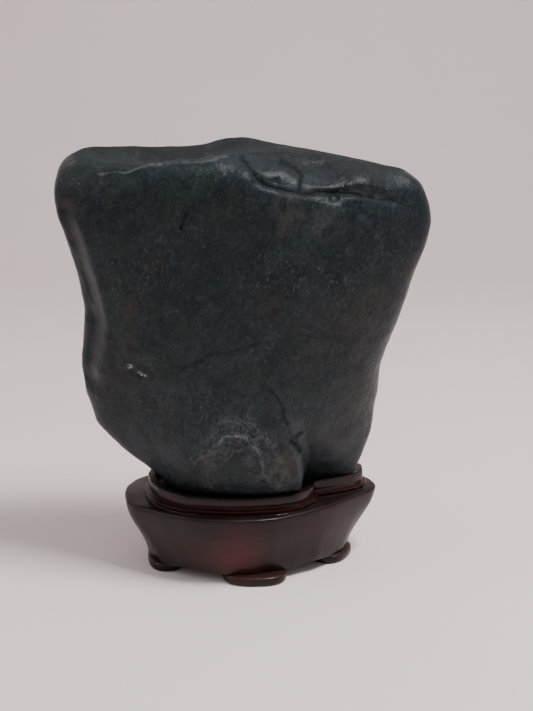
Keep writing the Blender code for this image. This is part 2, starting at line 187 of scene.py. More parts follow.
# Pits and chips: side, (x, z), radius and depth.
PITS = [
    (-1, (-30.6, 199.4), 1.5, 1.1), (-1, (-27.8, 206.6), 0.9, 0.6), (-1, (48, 213.7), 2.2, 1.0),
    (-1, (66, 202.5), 1.8, 0.6), (-1, (-1.5, 80.5), 3.2, 0.7), (-1, (-58.5, 121.5), 2.4, 0.9),
    (-1, (-54.5, 119.5), 2.2, 0.8), (-1, (27, 85.4), 1.9, 0.8), (-1, (52, 218), 1.8, 0.8),
    (-1, (18, 223), 1.8, 0.7), (-1, (34, 187), 1.3, 0.4), (-1, (10.3, 118), 1.3, 0.4),
    (-1, (70, 82), 2.2, 0.8), (-1, (21, 163), 2.6, 0.5), (-1, (15, 158), 2.2, 0.5),
    (1, (-20, 206), 2.8, 1.2), (1, (38, 140), 2.4, 1.0), (1, (-50, 96), 3.0, 1.2),
    (1, (12, 70), 2.2, 0.8),
]
# How uneven a pit's edge is, and how far it slopes out past the radius.
PIT_RAGGED = 0.8
PIT_SPREAD = 1.4
# How far a coloured line strays from its path, over what length, and what sets X apart from Z.
LINE_WANDER = 1.1
WANDER_LENGTH = 7
WANDER_SHIFT = 50
# How far from a line its strength is kept, and what stands for no line near.
LINE_REACH = 3
FAR = 1000
# A line is fully strong once its depth times this is 1.
STRENGTH_OF_DEPTH = 2.4
# Cracks and crests are coloured only on what stands this far out from the stone's middle.
CRACKED_FROM = 6
CRESTED_FROM = 26
# How far the arches' crystal spreads.
ARCH_REACH = 6
# Worn facets, lumps and hollows: centre, reach, and how far the middle moves.
FACETS = [
    ((9, -36, 226), (9, 9, 7), (0, -1.2, 1.6)),
    ((2, -38, 220), (5, 9, 5), (0, -0.8, 0.5)),
    ((19, -30, 225), (9, 8, 6), (0.3, -2.6, 1.8)),
    ((35, -20, 231), (11, 12, 8), (0, 1.4, -2.2)),
    ((62, -26, 224), (12, 10, 8), (1.0, -3.2, 2.4)),
    ((84, -20, 212), (11, 14, 12), (-0.3, 1.2, -1.4)),
    ((20, -44, 212), (7, 12, 6), (0, -0.9, 0)),
    ((40, -41, 208), (10, 12, 8), (0, -1.0, 0)),
    ((52, -39, 200), (7, 12, 7), (0, -0.7, 0)),
    ((24, -44, 197), (6, 12, 8), (0, 0.8, 0)),
    ((33, -44, 190), (8, 12, 6), (0, -0.6, 0)),
    ((-6, -48, 76), (11, 14, 9), (0, 1.4, 0)),
    ((-22, -46, 68), (6, 12, 9), (0, 0.8, 0)),
    ((-50, -24, 227), (9, 6, 6), (0, 0, -1.2)),
    ((-34, -18, 229), (6, 9, 6), (0, 0, 0.8)),
    ((-60, -12, 226), (5, 7, 6), (0, 0, 0.6)),
]
# Finer unevenness than the water's: wavelength and height.
SKIN_WEAR = [(19, 0.45), (9, 0.24), (4.5, 0.13), (2.6, 0.07)]
# Faces along X, Y and Z: the stone that is seen, and the one that cuts its seat.
STONE_GRID = (178, 56, 168)
SEAT_GRID = (92, 44, 88)

# ---- The stand's form --------------------------------------------------------
STAND_CENTRE = np.array([4.0, 0.0])
RIM_OUTLINE = [
    (77.5, 12), (75.5, 4.7), (69, -2), (60.4, -10.6), (51.7, -19.3), (43.3, -26.5), (35.2, -32.3),
    (27.7, -37), (18.8, -41.8), (9.4, -44.3), (-3, -45.5), (-13.3, -45), (-22.9, -43.8),
    (-31.8, -40.6), (-45.8, -32.8), (-55, -27), (-62, -23.5), (-66.5, -15.5), (-69, -2), (-69, 9),
    (-65, 20), (-55, 31), (-40, 38.5), (-20, 43), (4, 44.5), (28, 43), (48, 38.5), (64, 31.5),
    (74, 22.5),
]
RIM_WEAR = 3
BASE_OUTLINE = [
    (57.5, -3.5), (50, -12.5), (41.5, -21), (29.3, -27.8), (24, -30), (15, -34), (6, -37),
    (-11, -37.5), (-23.5, -34.4), (-36.6, -29.9), (-46.5, -22), (-52.5, -13), (-55.5, -6),
    (-56, 2), (-54.5, 13), (-48, 24), (-36, 31), (-18, 35.5), (4, 36.5), (20, 35.5), (40, 31),
    (53, 23.5), (59.5, 14), (60, 5),
]
BASE_WEAR = 3
COLLAR_OUTLINE = [
    (68.7, 4.3), (63.7, -1.5), (54.8, -6.4), (46, -10), (40.5, -12.4), (40.2, -15), (39.4, -19.5),
    (36.1, -25.5), (31.3, -30.8), (25.8, -33.9), (18.6, -36.6), (9.4, -38.4), (-1.5, -39.5),
    (-9.6, -39.5), (-20.5, -38.3), (-31.5, -36.2), (-39, -31.6), (-47.6, -23.9), (-53.1, -12.9),
    (-55.5, 0.2), (-54, 12), (-47, 22.5), (-34, 30.5), (-16, 35), (6, 36.5), (30, 35.5), (50, 31),
    (63, 23.5), (69, 14),
]
COLLAR_WEAR = 1.5
# The body from the underside up to the shoulder, its edges rounded over: share of the way from
# rim to base, further inset, height.
BODY_PROFILE = [
    (1, 10, 6.6), (1, 0.9, 6.6), (1, 0.3, 6.8), (1, 0, 7.3), (0.87, 0, 12), (0.7, 0, 17),
    (0.5, 0, 22), (0.32, 0, 26.5), (0.16, 0, 31), (0.075, 0, 34.5), (0.03, 0, 37.4),
    (0.01, 0.05, 39), (0, 0.35, 40), (0, 0.9, 40.6), (0, 1.7, 40.85),
]
# The rings of the body's lower edge that come down to meet the feet, how far, and over what length.
APRON_RINGS = (1, 2, 3)
APRON_DROP = 1.2
APRON_SWEEP = 10
# (inset from the collar, height): bead, cove, wall, lip, and down to the floor of the bed.
COLLAR_PROFILE = [
    (-1, 41), (-0.6, 41.4), (-0.55, 42), (-1, 42.7), (-1.7, 43.3), (-1.95, 43.7), (-1.8, 44.05),
    (-1.3, 44.2), (0.5, 44.3), (0.9, 44.6), (1, 45.8), (0.8, 46.3), (0.2, 46.5), (0, 46.9),
    (0.3, 50), (0.45, 50.4), (0.9, 50.7), (3.9, 50.75), (4.5, 50.5), (4.8, 50), (5.4, 46.5),
]
# The collar rises towards its ends by this, above this height.
COLLAR_RISE = 1.5
COLLAR_RISE_FROM = 47
STAND_POINTS_ROUND = 288
# The carver's unevenness: wavelength and height.
HAND_CARVED = [(26, 0.22), (9, 0.07)]
SHARP_EDGE = math.radians(38)

# Each foot: centre (x, y), half length, half width, and the bearing of its length in degrees.
FEET = [
    ((6.3, -28), 18, 13.8, 0),
    ((-44.8, -5), 17, 11, 98),
    ((49.1, 3.4), 14.8, 12.2, 62),
    ((4, 27), 18, 13.8, 0),
]
FOOT_PROFILE = [
    (1.6, 0), (0.8, 0.25), (0.25, 0.8), (0, 1.7), (0, 3.6), (0.25, 4.5), (0.8, 5.05), (1.6, 5.25),
    (7.4, 5.7), (10.6, 9),
]
FOOT_SQUARENESS = 2.5
FOOT_POINTS_ROUND = 72

# How finely outlines are sampled, and how their corners are blurred.
SAMPLES_PER_SIDE = 8
BLUR_SAMPLES = 7
BLUR_FALL = 2


# ---- Node expressions --------------------------------------------------------

# Sockets of a Mix node that mixes colours, which has the same names for other kinds of value.
MIX_SHARE, MIX_FIRST, MIX_SECOND, MIX_COLOUR = 0, 6, 7, 2
# Within this share of its reach a zone is whole.
ZONE_CORE = 0.15


class Wire:
    """One output in a finish's node tree.  Its operators add Math nodes."""

    def __init__(self, finish, socket):
        self.finish = finish
        self.socket = socket

    def maths(self, operation, *others):
        """A Math node with this wire first."""
        inputs = dict(enumerate((self, *others)))
        return self.finish.node("ShaderNodeMath", {"operation": operation}, inputs)

    def __add__(self, other):
        return self.maths("ADD", other)

    def __sub__(self, other):
        return self.maths("SUBTRACT", other)

    def __rsub__(self, other):
        return self.finish.node("ShaderNodeMath", {"operation": "SUBTRACT"}, {0: other, 1: self})

    def __mul__(self, other):
        return self.maths("MULTIPLY", other)

    __radd__ = __add__
    __rmul__ = __mul__

    def most(self, limit):
        """Itself, but never over the limit."""
        return self.maths("MINIMUM", limit)

    def step(self, low, high):
        """A soft step: 0 at `low` and 1 at `high`, which may be the smaller of the two."""
        settings = {"interpolation_type": "SMOOTHSTEP"}
        inputs = {"Value": self, "From Min": low, "From Max": high}
        return self.finish.node("ShaderNodeMapRange", settings, inputs)


class Finish:
    """A Principled material built from expressions."""

    def __init__(self, name, **plain):
        self.material = bpy.data.materials.new(name)
        self.material.use_nodes = True
        self.tree = self.material.node_tree
        self.shader = self.tree.nodes["Principled BSDF"]
        for socket, value in plain.items():
            self.shader.inputs[socket.replace("_", " ")].default_value = value
        place = self.node("ShaderNodeTexCoord", {}, {}, "Object")
        self.place = self.vector("MULTIPLY", place, (1 / MM,) * 3)

    def node(self, kind, settings, inputs, output=0):
        """A node of one kind, with its settings made before its inputs are joined or filled."""
        made = self.tree.nodes.new(kind)
        for name, value in settings.items():
            setattr(made, name, value)
        for name, value in inputs.items():
            if isinstance(value, Wire):
                self.tree.links.new(value.socket, made.inputs[name])
            else:
                made.inputs[name].default_value = value
        return Wire(self, made.outputs[output])

    def vector(self, operation, first, second):
        """A Vector Math node on two vectors."""
        return self.node("ShaderNodeVectorMath", {"operation": operation}, {0: first, 1: second})

    def length(self, vector):
        """How long a vector is."""
        return self.node("ShaderNodeVectorMath", {"operation": "LENGTH"}, {0: vector}, "Value")

    def part(self, vector, axis):
        """One of a vector's X, Y and Z, which are 0, 1 and 2."""
        return self.node("ShaderNodeSeparateXYZ", {}, {0: vector}, axis)

    def upward(self):
        """How far the surface faces up, from -1 to 1."""
        return self.part(self.node("ShaderNodeNewGeometry", {}, {}, "Normal"), 2)

    def grain(self, wavelength, detail=3, roughness=0.5, stretch=(1, 1, 1), turn=0.0):
        """Cloudy noise from 0 to 1, its grains stretched and turned about Y."""
        place = self.place
        if turn:
            settings = {"rotation_type": "Y_AXIS"}
            inputs = {"Vector": place, "Angle": turn}
            place = self.node("ShaderNodeVectorRotate", settings, inputs)
        place = self.vector("DIVIDE", place, tuple(wavelength * share for share in stretch))
        inputs = {"Vector": place, "Scale": 1.0, "Detail": float(detail), "Roughness": roughness}
        return self.node("ShaderNodeTexNoise", {}, inputs)

    def cells(self, spacing):
        """Distance from scattered points, and a value of 0 to 1 that each point keeps."""
        place = self.vector("DIVIDE", self.place, (spacing,) * 3)
        near = self.node("ShaderNodeTexVoronoi", {}, {"Vector": place, "Scale": 1.0})
        return near, self.part(Wire(self, near.socket.node.outputs["Color"]), 0)

    def zone(self, centre, reach):
        """1 at a place on the piece, falling softly to 0 at the reach."""
        away = self.vector("DIVIDE", self.vector("SUBTRACT", self.place, centre), reach)
        return self.length(away).step(1, ZONE_CORE)

    def zones(self, places):
        """The sum of the zones at several places, each a centre and a reach."""
        first, *others = [self.zone(centre, reach) for centre, reach in places]
        return sum(others, first)

    def mark(self, name):
        """A value that the mesh carries at each point."""
        return self.node("ShaderNodeAttribute", {"attribute_name": name}, {}, "Fac")

    def line(self, name):
        """The distance from the nearest of the marked lines, and that line's strength."""
        way = self.node("ShaderNodeAttribute", {"attribute_name": name}, {}, "Vector")
        return self.length(self.vector("MULTIPLY", way, (1, 0, 1))), self.part(way, 1)

    def blend(self, share, first, second):
        """A colour between two others, each a wire or red, green and blue."""
        first, second = (
            colour if isinstance(colour, Wire) else (*colour, 1) for colour in (first, second)
        )
        inputs = {MIX_SHARE: share, MIX_FIRST: first, MIX_SECOND: second}
        return self.node("ShaderNodeMix", {"data_type": "RGBA"}, inputs, MIX_COLOUR)

    def finish(self, colour, roughness, height, bump, **more):
        """Joins the wires to the shader; `height` is in millimetres and works through a bump."""
        inputs = {"Strength": bump, "Distance": MM, "Height": height}
        wires = {"Base Color": colour, "Roughness": roughness, **more}
        wires["Normal"] = self.node("ShaderNodeBump", {}, inputs)
        for socket, wire in wires.items():
            self.tree.links.new(wire.socket, self.shader.inputs[socket.replace("_", " ")])
        return self.material


# ---- Shared shaping ----------------------------------------------------------

def object_of(name, points, faces):
    """A mesh in the scene, from points in millimetres."""
    mesh = bpy.data.meshes.new(name)
    mesh.from_pydata((np.asarray(points) * MM).tolist(), [], faces)
    made = bpy.data.objects.new(name, mesh)
    bpy.context.scene.collection.objects.link(made)
    return made


def piece_of(name, points, faces, material, slot, node):
    """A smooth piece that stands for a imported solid."""
    piece = object_of(name, points, faces)
    piece.data.materials.append(material)
    piece.data.shade_smooth()
    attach(piece, "root")
    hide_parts(node)
    return piece


def ease(value):
    """0 below 0, 1 above 1 and a soft step between."""
    value = np.clip(value, 0, 1)
    return value * value * (3 - 2 * value)


def around(bearings, knots, values, wear):
    """Values known at some bearings, read at others and blurred over `wear` degrees."""
    offsets = np.linspace(-1, 1, BLUR_SAMPLES)
    weights = np.exp(-BLUR_FALL * offsets**2)
    total = np.zeros(len(bearings))
    for offset, weight in zip(offsets, weights):
        turned = bearings + math.radians(wear) * offset
        total += weight * np.interp(turned, knots, values, period=math.tau)
    return total / weights.sum()


def outline_radius(bearings, outline, centre, wear):
    """Radius of a closed outline at each bearing, with its corners worn round."""
    corners = np.array(outline, float) - centre
    steps = np.linspace(0, 1, SAMPLES_PER_SIDE, endpoint=False)[:, None, None]
    sides = (corners + (np.roll(corners, -1, axis=0) - corners) * steps).reshape(-1, 2)
    return around(bearings, np.arctan2(sides[:, 1], sides[:, 0]), np.hypot(*sides.T), wear)


def way_from_line(places, path):
    """From the nearest point of a line drawn through (x, z) points to each place."""
    path = np.array(path, float)
    nearest = np.full((len(places), 2), np.inf)
    for start, end in zip(path[:-1], path[1:]):
        along = end - start
        share = np.clip((places - start) @ along / (along @ along), 0, 1)[:, None]
        way = places - start - share * along
        closer = np.linalg.norm(way, axis=1) < np.linalg.norm(nearest, axis=1)
        nearest[closer] = way[closer]
    return nearest


def line_distance(places, path):
    """How far each place is from a line."""
    return np.linalg.norm(way_from_line(places, path), axis=1)


def noise_at(points, wavelength):
    """Smooth noise about 0 at each point."""
    return np.array([noise.noise(Vector(point)) for point in points / wavelength])


def normals_of(points, faces):
    """The unit normal at each point of a mesh of four-cornered faces."""
    corners = points[faces]
    facing = np.cross(corners[:, 2] - corners[:, 0], corners[:, 3] - corners[:, 1])
    normals = np.zeros_like(points)
    for corner in range(4):
        np.add.at(normals, faces[:, corner], facing)
    return normals / np.linalg.norm(normals, axis=1)[:, None]


def roughen(points, faces, wavelength, height):
    """Raises and lowers the surface along its normals by smooth noise."""
    return points + normals_of(points, faces) * (height * noise_at(points, wavelength))[:, None]


# ---- The stone ---------------------------------------------------------------

def box_grid(counts):
    """Corner places of a grid drawn on a box, from -1 to 1 along each axis, and its faces."""
    index, faces = {}, []
    for axis in range(3):
        across, up = (axis + 1) % 3, (axis + 2) % 3
        for end in (0, counts[axis]):
            for i in range(counts[across]):
                for j in range(counts[up]):
                    loop = [(i, j), (i + 1, j), (i + 1, j + 1), (i, j + 1)]
                    keys = []
                    for a, b in loop if end else loop[::-1]:
                        key = [end, end, end]
                        key[across], key[up] = a, b
                        keys.append(tuple(key))
                    faces.append([index.setdefault(key, len(index)) for key in keys])
    return 2 * np.array(list(index), float) / counts - 1, np.array(faces)


def pebble(grid):
    """The stone's first form: rays through the grid, cut off at a squared-off pebble."""
    rays = np.tan(grid * math.pi / 4) * STONE_HALF_SIZE
    rays /= np.linalg.norm(rays, axis=1)[:, None]
    bearings = np.arctan2(rays[:, 2], rays[:, 0])
    radius = outline_radius(bearings, STONE_OUTLINE, STONE_CENTRE[[0, 2]], STONE_WEAR)
    knots, powers = np.array(SQUARENESS, float).T
    power = around(bearings, np.radians(knots), powers, SQUARENESS_WEAR)
    power = np.where(rays[:, 1] < 0, power, 2 + BACK_SQUARENESS * (power - 2))
    depth = np.where(rays[:, 1] < 0, FRONT_DEPTH, BACK_DEPTH)
    flat = np.hypot(rays[:, 0], rays[:, 2]) / radius
    reach = (flat**power + (np.abs(rays[:, 1]) / depth) ** power) ** (-1 / power)
    points = STONE_CENTRE + rays * reach[:, None]
    for (start, length, loss), side in ((LEFT_THINNING, -1), (RIGHT_THINNING, 1)):
        points[:, 1] *= 1 - loss * ease(side * (points[:, 0] - start) / length)
    return points


def plane_bevel(points):
    """Planes the top right down to the bevel."""
    rise = BEVEL_HIGH - BEVEL_LOW
    facing = np.cross((1, 0, -BEVEL_FALL), rise)
    facing /= np.linalg.norm(facing)
    height = (points - BEVEL_LOW) @ facing
    planed = -BEVEL_EDGE * np.logaddexp(0, -height / BEVEL_EDGE)
    share = ease((points[:, 0] - BEVEL_LEFT) / BEVEL_FADE)
    return points + ((planed - height) * share)[:, None] * facing


def swell(points, centre, reach, push):
    """Moves what lies round a centre, by less towards the end of the reach."""
    away = (points - centre) / reach
    return points + np.exp(-(away**2).sum(axis=1))[:, None] * push


def set_back(points):
    """Steps the stone back on the right of the cleft."""
    cleft_x, cleft_z = np.array(CLEFT[::-1], float).T
    edge = np.interp(points[:, 2], cleft_z, cleft_x)
    deep = np.clip((cleft_z.max() - points[:, 2]) / (cleft_z.max() - CLEFT_FOOT), 0, 1)
    width = CLEFT_EDGE_TOP + (CLEFT_EDGE_FOOT - CLEFT_EDGE_TOP) * deep
    right = ease((points[:, 0] - edge) / width + 0.5)
    kept = np.where(points[:, 1] < 0, 1 - CLEFT_LOSS * deep**CLEFT_GROWTH * right, 1)
    return points * np.column_stack([np.ones_like(kept), kept, np.ones_like(kept)])


def on_side(points, side):
    """1 on the front or on the back of the stone and 0 on the other."""
    return ease(side * points[:, 1] / LINE_SIDE_FADE)


def score(points, side, path, width, depth):
    """Draws a groove or a ridge along a line on the front or the back."""
    distance = line_distance(points[:, [0, 2]], path)
    share = on_side(points, side) * np.exp(-((distance / width) ** 2))
    return points - (side * depth * share)[:, None] * (0, 1, 0)


def stone_form(counts):
    """The stone's points and faces on a grid of the given fineness."""
    grid, faces = box_grid(np.array(counts))
    points = plane_bevel(pebble(grid))
    for centre, reach, push in SWELLS:
        points = swell(points, centre, reach, push)
    points = set_back(points)
    for line in LINES:
        points = score(points, *line)
    for wavelength, height in WATER_WEAR:
        points = roughen(points, faces, wavelength, height)
    return points, faces


def pit(points, normals, side, place, radius, depth):
    """A small hole with a ragged edge."""
    away = points[:, [0, 2]] - place
    ragged = 1 + PIT_RAGGED * noise_at(points, radius)
    deep = ease(PIT_SPREAD - np.linalg.norm(away, axis=1) / (radius * ragged))
    return points - normals * (depth * deep * on_side(points, side))[:, None]


def wandered(points):
    """(x, z) places with a slight wander, so that a line drawn by them isn't straight."""
    wander = [noise_at(points + shift, WANDER_LENGTH) for shift in (0, WANDER_SHIFT)]
    return points[:, [0, 2]] + LINE_WANDER * np.column_stack(wander)


def mark_lines(piece, name, points, lines, start):
    """Stores at each point the way to it from the nearest line, as X and Z.

    Y holds that line's strength.  Lines are marked only on what stands further out than
    `start`, towards the front or the back.
    """
    places = wandered(points)
    marks = np.full((len(points), 3), float(FAR))
    for side, path, _, depth in lines:
        way = way_from_line(places, path)
        distance = np.linalg.norm(way, axis=1)
        closer = distance < np.linalg.norm(marks[:, [0, 2]], axis=1)
        closer &= side * points[:, 1] > start
        strength = np.where(distance < LINE_REACH, min(1, STRENGTH_OF_DEPTH * abs(depth)), 0)
        marks[closer] = np.column_stack([way[:, 0], strength, way[:, 1]])[closer]
    marks[np.hypot(marks[:, 0], marks[:, 2]) >= LINE_REACH, 1] = 0
    layer = piece.data.attributes.new(name, "FLOAT_VECTOR", "POINT")
    layer.data.foreach_set("vector", marks.astype(np.float32).ravel())


def mark_near(piece, name, points, lines, reach):
    """Stores 1 on the lines, falling to 0 at the reach from them."""
    places = wandered(points)
    near = np.zeros(len(points))
    for side, path, *_ in lines:
        near = np.maximum(near, on_side(points, side) * (1 - line_distance(places, path) / reach))
    layer = piece.data.attributes.new(name, "FLOAT", "POINT")
    layer.data.foreach_set("value", near.astype(np.float32))


def make_stone(material):
    """The stone, worn, cracked and pitted, with the marks that its finish reads."""
    points, faces = stone_form(STONE_GRID)
    for facet in FACETS:
        points = swell(points, *facet)
    for wavelength, height in SKIN_WEAR:
        points = roughen(points, faces, wavelength, height)
    smooth = points.copy()
    for line in CRACKS + CRESTS + ARCHES:
        points = score(points, *line)
    normals = normals_of(points, faces)
    for hole in PITS:
        points = pit(points, normals, *hole)
    stone = piece_of("scholars_stone", points, faces.tolist(), material, "stone", "stone")
    mark_lines(stone, "cracks", smooth, CRACKS, CRACKED_FROM)
    mark_lines(stone, "crests", smooth, CRESTS, CRESTED_FROM)
    mark_near(stone, "arches", smooth, ARCHES, ARCH_REACH)
    return stone


# ---- The stand ---------------------------------------------------------------

def loft(rings):
    """Faces between rings of equal count, closed by a flat cap at each end."""
    count = len(rings[0])
    faces = [list(range(count))[::-1], [(len(rings) - 1) * count + i for i in range(count)]]
    for lower in range(0, (len(rings) - 1) * count, count):
        for i in range(count):
            j = (i + 1) % count
            faces.append([lower + i, lower + j, lower + count + j, lower + count + i])
    return np.concatenate(rings), faces


def apron_drop(places):
    """How far the body's lower edge comes down to meet the feet."""
    drop = np.zeros(len(places))
    for centre, half_length, _, _ in FEET:
        beyond = np.linalg.norm(places - centre, axis=1) - half_length
        drop = np.maximum(drop, ease(1 - beyond / APRON_SWEEP))
    return APRON_DROP * drop


def stand_block():
    """The body, shoulder, bead and collar as one loft."""
    bearings = np.linspace(0, math.tau, STAND_POINTS_ROUND, endpoint=False)
    ways = np.column_stack([np.cos(bearings), np.sin(bearings)])
    rim = outline_radius(bearings, RIM_OUTLINE, STAND_CENTRE, RIM_WEAR)
    base = outline_radius(bearings, BASE_OUTLINE, STAND_CENTRE, BASE_WEAR)
    collar = outline_radius(bearings, COLLAR_OUTLINE, STAND_CENTRE, COLLAR_WEAR)
    rings = []
    for number, (share, inset, height) in enumerate(BODY_PROFILE):
        places = STAND_CENTRE + ways * (rim + share * (base - rim) - inset)[:, None]
        heights = np.full(len(places), float(height))
        if number in APRON_RINGS:
            heights -= apron_drop(places)
        rings.append(np.column_stack([places, heights]))
    for inset, height in COLLAR_PROFILE:
        places = STAND_CENTRE + ways * (collar - inset)[:, None]
        heights = np.full(len(places), float(height))
        if height > COLLAR_RISE_FROM:
            heights += COLLAR_RISE * ((places[:, 0] - STAND_CENTRE[0]) / collar.max()) ** 2
        rings.append(np.column_stack([places, heights]))
    points, faces = loft(rings)
    outward = np.tile(np.column_stack([ways, np.zeros(len(ways))]), (len(rings), 1))
    for wavelength, height in HAND_CARVED:
        points = points + outward * (height * noise_at(points, wavelength))[:, None]
    return points, faces


def foot(centre, half_length, half_width, bearing):
    """A low rounded pad, longer than it is wide."""
    turns = np.linspace(0, math.tau, FOOT_POINTS_ROUND, endpoint=False)
    power = 2 / FOOT_SQUARENESS
    long = np.sign(np.cos(turns)) * np.abs(np.cos(turns)) ** power
    wide = np.sign(np.sin(turns)) * np.abs(np.sin(turns)) ** power
    angle = math.radians(bearing)
    rings = []
    for inset, height in FOOT_PROFILE:
        along = (half_length - inset) * long
        across = (half_width - inset) * wide
        x = centre[0] + along * math.cos(angle) - across * math.sin(angle)
        y = centre[1] + along * math.sin(angle) + across * math.cos(angle)
        rings.append(np.column_stack([x, y, np.full(len(x), float(height))]))
    return loft(rings)


def worked(piece, tools):
    """Applies Boolean tools to a piece and removes them."""
    for operation, tool in tools:
        boolean = piece.modifiers.new(operation, "BOOLEAN")
        boolean.operation = operation
        boolean.object = tool
    graph = bpy.context.evaluated_depsgraph_get()
    shaped = bpy.data.meshes.new_from_object(piece.evaluated_get(graph))
    piece.modifiers.clear()
    piece.data = shaped
    for _, tool in tools:
        bpy.data.objects.remove(tool)


def make_stand(material):
    """The stand: one block with its feet, and the stone's seat cut into it."""
    stand = piece_of("carved_stand", *stand_block(), material, "lacquered_wood", "stand")
    points, faces = [], []
    for dimensions in FEET:
        foot_points, foot_faces = foot(*dimensions)
        start = sum(len(made) for made in points)
        points.append(foot_points)
        faces += [[start + corner for corner in face] for face in foot_faces]
    feet = object_of("feet", np.concatenate(points), faces)
    seat_points, seat_faces = stone_form(SEAT_GRID)
    seat_points = seat_points + HELD_CLEAR * normals_of(seat_points, seat_faces)
    seat = object_of("seat_cutter", seat_points, seat_faces.tolist())
    worked(stand, [("UNION", feet), ("DIFFERENCE", seat)])
    stand.data.shade_smooth()
    stand.data.set_sharp_from_angle(angle=SHARP_EDGE)
    return stand


# ---- The stone's finish ------------------------------------------------------

BLACK = (0, 0, 0)
# The stone's colours, before wax and handling darkened them.
NEAR_BLACK = (0.0075, 0.0130, 0.0165)
DEEP_SLATE = (0.0180, 0.0285, 0.0340)
SLATE = (0.0270, 0.0390, 0.0460)
# Painted reflection of the pale floor on the lower stone.
FLOOR_REFLECTION_GREY = (0.0370, 0.0500, 0.0570)
GREEN = (0.0170, 0.0310, 0.0240)
UMBER = (0.0310, 0.0290, 0.0240)
ARCH_CRYSTAL = (0.1250, 0.1350, 0.1400)
QUARTZ = (0.1600, 0.1750, 0.1800)
# Painted highlight along the ridges.
RIDGE_HIGHLIGHT = (0.2500, 0.2500, 0.2350)
CRACK_SIDE = (0.0060, 0.0085, 0.0105)
CRACK = (0.0030, 0.0035, 0.0040)
FRESH_STONE = (0.4000, 0.4100, 0.3500)
WAX_DARKENING = 0.38
# The lean of the stone's grain from upright, and of the chip's torn edge.
LEAN = -0.42
CHIP_LEAN = 0.4
# Between these heights a paler grey takes over towards the foot: a painted reflection of the floor.
FLOOR_REFLECTION_GREY_FROM = 158
FLOOR_REFLECTION_GREY_TO = 84

# Stains in the stone, and painted shade on the right flank, the right shoulder and the top: where,
# how far, share and colour.
STAINS_AND_SHADE = [
    ((50, -36, 149), (36, 60, 26), 0.8, (0.0300, 0.0270, 0.0260)),
    # The right flank's brown-grey stain, darkened further as painted shade.
    ((62, -26, 106), (18, 60, 44), 0.85, (0.0230, 0.0220, 0.0210)),
    ((34, -42, 128), (16, 60, 16), 0.7, (0.0300, 0.0270, 0.0270)),
    ((-70, -24, 108), (22, 60, 34), 0.8, (0.0290, 0.0280, 0.0260)),
    ((-92, -26, 208), (12, 60, 34), 0.8, (0.0220, 0.0150, 0.0160)),
    ((-57.5, -36, 150), (6, 60, 22), 0.8, (0.0400, 0.0320, 0.0250)),
    ((-35, -42, 209), (15, 60, 19), 0.9, (0.0130, 0.0230, 0.0150)),
    ((-72, -31, 164), (12, 60, 14), 0.8, (0.0190, 0.0330, 0.0220)),
    ((-63, -31, 131), (11, 60, 10), 0.8, (0.0230, 0.0350, 0.0230)),
    ((-26, -42, 188), (12, 60, 12), 0.7, (0.0150, 0.0260, 0.0180)),
    ((70, -28, 158), (18, 60, 13), 0.8, (0.0330, 0.0350, 0.0250)),
    ((10, -46, 120), (16, 60, 12), 0.6, (0.0260, 0.0380, 0.0300)),
    ((21, -44, 71), (12, 60, 22), 0.9, (0.0560, 0.0540, 0.0400)),
    ((24, -43, 206), (13, 60, 17), 0.8, (0.0640, 0.0580, 0.0560)),
    ((42, -41, 202), (16, 60, 12), 0.8, (0.0560, 0.0580, 0.0600)),
    ((18, -46, 161), (12, 60, 9), 0.8, (0.0360, 0.0300, 0.0265)),
    ((7.5, -44, 208), (4, 60, 4), 0.6, (0.0500, 0.0370, 0.0370)),
    ((-49.4, -41, 178.5), (3, 60, 3), 0.6, (0.0700, 0.0480, 0.0300)),
    ((-20.5, -46, 76), (4.5, 60, 4), 0.9, (0.0700, 0.0480, 0.0310)),
    ((-2.5, -50, 84), (5, 60, 4), 0.8, (0.0110, 0.0130, 0.0150)),
    ((-13, -45, 184), (22, 60, 26), 0.7, (0.0080, 0.0120, 0.0150)),
    # Painted shade on the right shoulder, and on the top at the right and the left.
    ((90, -20, 188), (22, 60, 34), 0.8, (0.0090, 0.0120, 0.0150)),
    ((40, -14, 232), (80, 30, 15), 0.75, (0.0080, 0.0105, 0.0130)),
    ((-40, 4, 238), (70, 36, 12), 0.75, (0.0080, 0.0105, 0.0130)),
]
# Where scratches cluster, besides the thin scatter of them all over: centre and reach.
SCRATCHED = [
    ((-58, -38, 173), (22, 60, 18)), ((-44, -41, 188), (18, 60, 16)),
    ((19, -46, 178), (28, 60, 20)), ((50, -41, 172), (18, 60, 16)),
    ((-22, -46, 104), (24, 60, 18)), ((-66, -33, 160), (12, 60, 12)),
    ((0, -50, 96), (20, 60, 14)),
]
# The broken chip on the left: centre and reach of the parts of its fresh surface.
CHIP = [
    ((-60.6, -32, 123.4), (4.0, 9, 2.2)), ((-56.2, -33, 120.9), (5.0, 9, 1.7)),
    ((-52.4, -33, 119.2), (3.6, 9, 1.3)),
]


def ground_colour(stone, mottle):
    """Near black to slate, paler grey towards the foot as a painted reflection of the floor, with
    green and brown patches.
    """
    height = stone.part(stone.place, 2)
    colour = stone.blend(stone.grain(46, 4, 0.55).step(0.35, 0.68), NEAR_BLACK, DEEP_SLATE)
    colour = stone.blend(mottle.step(0.42, 0.66) * 0.75, colour, SLATE)
    # Paler towards the foot: painted reflection of the floor, broken by the mottle.
    low = height.step(FLOOR_REFLECTION_GREY_FROM, FLOOR_REFLECTION_GREY_TO) * (0.30 + 0.70 * mottle.step(0.30, 0.62))
    colour = stone.blend(low * 0.9, colour, FLOOR_REFLECTION_GREY)
    green = stone.grain(17, 3, 0.6).step(0.50, 0.66)
    colour = stone.blend(green * 0.6, colour, GREEN)
    brown = stone.grain(21, 4, 0.6, (0.8, 1, 1.3), LEAN).step(0.53, 0.68)
    return stone.blend(brown * 0.45, colour, UMBER)


